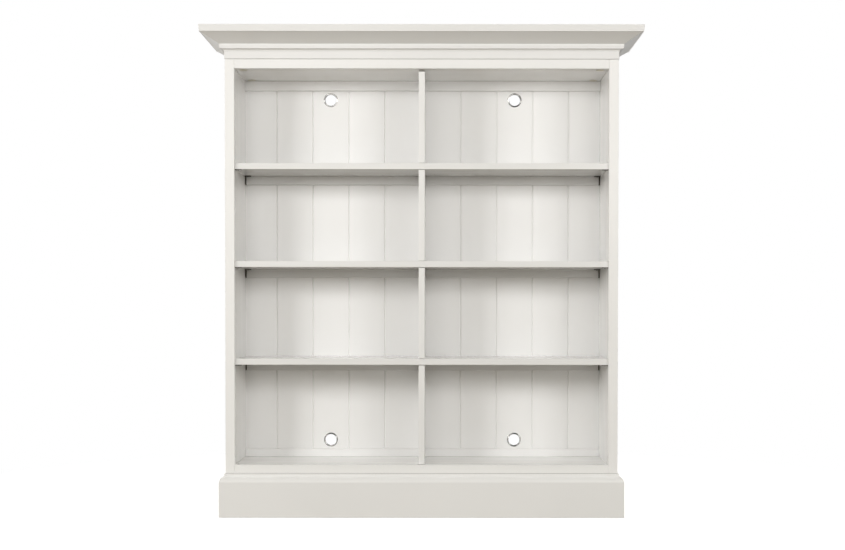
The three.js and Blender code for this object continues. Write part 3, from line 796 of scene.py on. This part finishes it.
# Castors: fine wheels in place of the plain ones, and the bolts of their plates.
# The tyre's shoulder is given by its depth under the tread and its height over the wheel's middle,
# the centre by radius and height.
WHEEL_BODIES = ("wheel_far_front", "wheel_far_rear", "wheel_middle_front")
WHEEL_SIDES = 72
TYRE_INNER = 0.0412
TYRE_INNER_HEIGHT = 0.0125
TYRE_SHOULDER = ((0.0, 0.0075), (0.0009, 0.0118), (0.0028, 0.0142), (0.006, 0.0148))
CENTRE_HUB = ((0.0053, 0.0168), (0.0115, 0.0168), (0.0128, 0.0155), (0.0132, 0.0085), (0.0150, 0.0068))
CENTRE_WEB = ((0.0330, 0.0055), (0.0352, 0.0075), (0.0362, 0.0115), (0.0372, 0.0122), (TYRE_INNER, 0.0122))
RIBS = 8
RIB_REACH = (0.0125, 0.0365)
RIB_HEIGHT = (0.0058, 0.0102)
RIB_THICK = 0.0022
RIB_EDGE = 0.0003
PLATE_THICK = 0.004
BOLT_ACROSS = 0.010
BOLT_HEIGHT = 0.004
BOLT_SPOTS = [(x, y) for x in (-0.022, 0.022) for y in (-0.033, 0.033)]

# Bolt heads, in shares of the hexagon's radius and height
HEX_SIDES = 6
HEX_SHARES = ((0.0, 0.0), (1.0, 0.0), (1.0, 0.8), (0.9, 1.0), (0.0, 1.0))
WASHER_SHARES = ((0.0, 0.0), (1.25, 0.0), (1.25, 0.2), (0.0, 0.2))
WASHER_SIDES = 24


def hex_head(across, height):
    radius = across / math.sqrt(3)
    head, washer = [[(radius * r, height * z) for r, z in shares] for shares in (HEX_SHARES, WASHER_SHARES)]
    return merge(turned(head, HEX_SIDES), turned(washer, WASHER_SIDES))


def below(profile):
    """The mirror image of a profile under the wheel's middle, its points in reverse order."""
    return [(radius, -height) for radius, height in reversed(profile)]


def tyre_shape(radius):
    upper = [(radius - depth, height) for depth, height in TYRE_SHOULDER]
    upper.append((TYRE_INNER, TYRE_INNER_HEIGHT))
    return turned(below(upper) + upper, WHEEL_SIDES, closed=True)


def centre_shape():
    upper = [*CENTRE_HUB, *CENTRE_WEB]
    inner, outer = RIB_REACH
    low, high = RIB_HEIGHT
    ribs = []
    for k in range(RIBS):
        for bottom, top in ((low, high), (-high, -low)):
            rib = block((inner, -RIB_THICK / 2, bottom), (outer, RIB_THICK / 2, top), RIB_EDGE)
            rib.transform(Matrix.Rotation(2 * math.pi * k / RIBS, 4, "Z"))
            ribs.append(rib)
    return merge(turned(upper + below(upper), WHEEL_SIDES, closed=True), *ribs)


def bolt_shapes(castor, level):
    """The bolts of one castor's plate, heads down."""
    bolts = []
    for x, y in BOLT_SPOTS:
        bolt = hex_head(BOLT_ACROSS, BOLT_HEIGHT)
        bolt.transform(castor @ facing((0, 0, -1), (x, y, level)))
        bolts.append(bolt)
    return merge(*bolts)


def make_castors():
    hinge = middle("hinge_pin_1")
    underside = highest("castor_fork_1").z - PLATE_THICK
    for i, body in enumerate(WHEEL_BODIES):
        hub = middle(f"castor_wheel_{i + 1}")
        turn = math.atan2(hub.y - hinge.y, hub.x - hinge.x)
        castor = Matrix.Translation((hub.x, hub.y, 0.0)) @ Matrix.Rotation(turn, 4, "Z")
        axle = castor @ facing((1, 0, 0), (0.0, 0.0, hub.z))
        tyre = tyre_shape(hub.z)
        wheel = add_piece(f"castor_tyre_{i + 1}", tyre, axle, "castor_rubber", body)
        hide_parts(f"castor_wheel_{i + 1}")
        centre = centre_shape()
        add_piece(f"castor_centre_{i + 1}", centre, axle, "pale_plastic", body)
        bolts = bolt_shapes(castor, underside)
        add_piece(f"castor_bolts_{i + 1}", bolts, Matrix(), "zinc_steel", DOOR)


# Screws that hold the frame in the wall, and the back panels behind the boards and along their edges
FRAME_SCREW_RADIUS = 0.0052
FRAME_SCREW_HEIGHT = 0.0012
JAMB_SCREW_LEVELS = (0.14, 0.63, 1.18, 1.70)
HEAD_SCREW_SPOTS = (-0.6, -0.2, 0.2, 0.6)
PANEL_SCREW_RADIUS = 0.0036
PANEL_SCREW_HEIGHT = 0.0011
SHELF_SCREW_SPOTS = (0.06, 0.23, 0.40, 0.57, 0.74)
UPRIGHT_SCREW_SPOTS = (0.008, 0.752)
UPRIGHT_SCREW_LEVELS = (0.34, 0.49, 0.77, 0.90, 1.16, 1.30, 1.56, 1.70)


def make_frame_screws():
    face, y = lowest("jamb_right").x, middle("jamb_right").y
    size = (FRAME_SCREW_RADIUS, FRAME_SCREW_HEIGHT)
    heads = []
    for sign in (-1, 1):
        heads += screws([(sign * face, y, z) for z in JAMB_SCREW_LEVELS], (-sign, 0, 0), *size)
    heads += screws([(x, y, lowest("head").z) for x in HEAD_SCREW_SPOTS], (0, 0, -1), *size)
    add_piece("frame_screws", merge(*heads), Matrix(), "zinc_steel", FIXED)


def make_panel_screws():
    spots = []
    for board in ("bottom_board", *SHELVES, "top_panel"):
        spots += [(sign * x, middle(board).z) for sign in (-1, 1) for x in SHELF_SCREW_SPOTS]
    for z in UPRIGHT_SCREW_LEVELS:
        spots += [(sign * x, z) for sign in (-1, 1) for x in UPRIGHT_SCREW_SPOTS]
    places = [(x, PANEL_BACK, z) for x, z in spots]
    heads = screws(places, (0, 1, 0), PANEL_SCREW_RADIUS, PANEL_SCREW_HEIGHT)
    add_piece("back_panel_screws", merge(*heads), Matrix(), "zinc_steel", DOOR)


make_camera()
make_world()
make_floor()
make_lamps()
dress_nodes()
make_cable_rings()
make_shelf_clips()
make_rail_gap_shade()
make_skirting_shadow_line()
make_cover_caps()
make_hinge_screws()
make_castors()
make_frame_screws()
make_panel_screws()

bpy.context.scene.view_settings.view_transform = "Standard"
